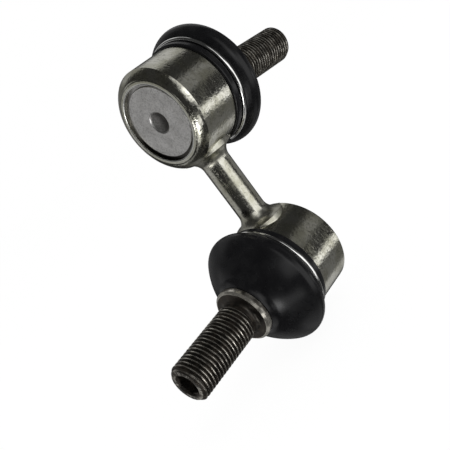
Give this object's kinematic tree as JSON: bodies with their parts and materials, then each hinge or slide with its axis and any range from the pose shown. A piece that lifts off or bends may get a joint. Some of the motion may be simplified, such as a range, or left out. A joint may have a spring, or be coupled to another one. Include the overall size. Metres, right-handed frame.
{
  "type": "stabilizer link",
  "caption": "Short stabilizer link: a forged rod joins two ball joints whose threaded studs point opposite ways and swing under rubber boots.",
  "frame": {"origin": "midpoint between the two housing axes on the rod's centre line", "axes": "+Z along the rod towards the upper joint, +Y along the upper housing axis towards its stud"},
  "size_m": [0.039, 0.1074, 0.0954],
  "materials": {
    "zinc_steel": "bright turned steel with a clear zinc coat",
    "plug_steel": "satin stamped steel",
    "phosphated_steel": "dark phosphate with bright worn edges",
    "boot_rubber": "satin black moulded rubber",
    "ring_steel": "bright spring wire",
    "seat_plastic": "natural bearing plastic"
  },
  "bodies": {
    "link": {"link_body": "zinc_steel", "upper_ball_seat": "seat_plastic", "upper_end_plug": "plug_steel", "upper_clamp_ring": "ring_steel", "lower_ball_seat": "seat_plastic", "lower_end_plug": "plug_steel", "lower_clamp_ring": "ring_steel"},
    "upper_boot": {"upper_dust_boot": "boot_rubber"},
    "upper_neck": {"upper_neck_ring": "ring_steel"},
    "upper_stud": {"upper_ball_stud": "phosphated_steel"},
    "lower_boot": {"lower_dust_boot": "boot_rubber"},
    "lower_neck": {"lower_neck_ring": "ring_steel"},
    "lower_stud": {"lower_ball_stud": "phosphated_steel"}
  },
  "joints": [
    {"name": "upper_swing", "type": "hinge", "parent": "link", "child": "upper_boot", "pos_m": [0, 0.001, 0.02825], "axis": [1, 0, 0], "range_deg": [-12, 20], "deforming": ["upper_dust_boot"]},
    {"name": "upper_sway", "type": "hinge", "parent": "upper_boot", "child": "upper_neck", "pos_m": [0, 0.001, 0.02825], "axis": [0, 0.0698, 0.9976], "range_deg": [-16, 16], "deforming": ["upper_dust_boot"]},
    {"name": "upper_spin", "type": "hinge", "parent": "upper_neck", "child": "upper_stud", "pos_m": [0, 0.001, 0.02825], "axis": [0, 0.9976, -0.0698], "continuous": true},
    {"name": "lower_swing", "type": "hinge", "parent": "link", "child": "lower_boot", "pos_m": [0, -0.001, -0.02825], "axis": [1, 0, 0], "range_deg": [-16, 16], "deforming": ["lower_dust_boot"]},
    {"name": "lower_sway", "type": "hinge", "parent": "lower_boot", "child": "lower_neck", "pos_m": [0, -0.001, -0.02825], "axis": [0, 0, 1], "range_deg": [-16, 16], "deforming": ["lower_dust_boot"]},
    {"name": "lower_spin", "type": "hinge", "parent": "lower_neck", "child": "lower_stud", "pos_m": [0, -0.001, -0.02825], "axis": [0, -1, 0], "continuous": true}
  ]
}
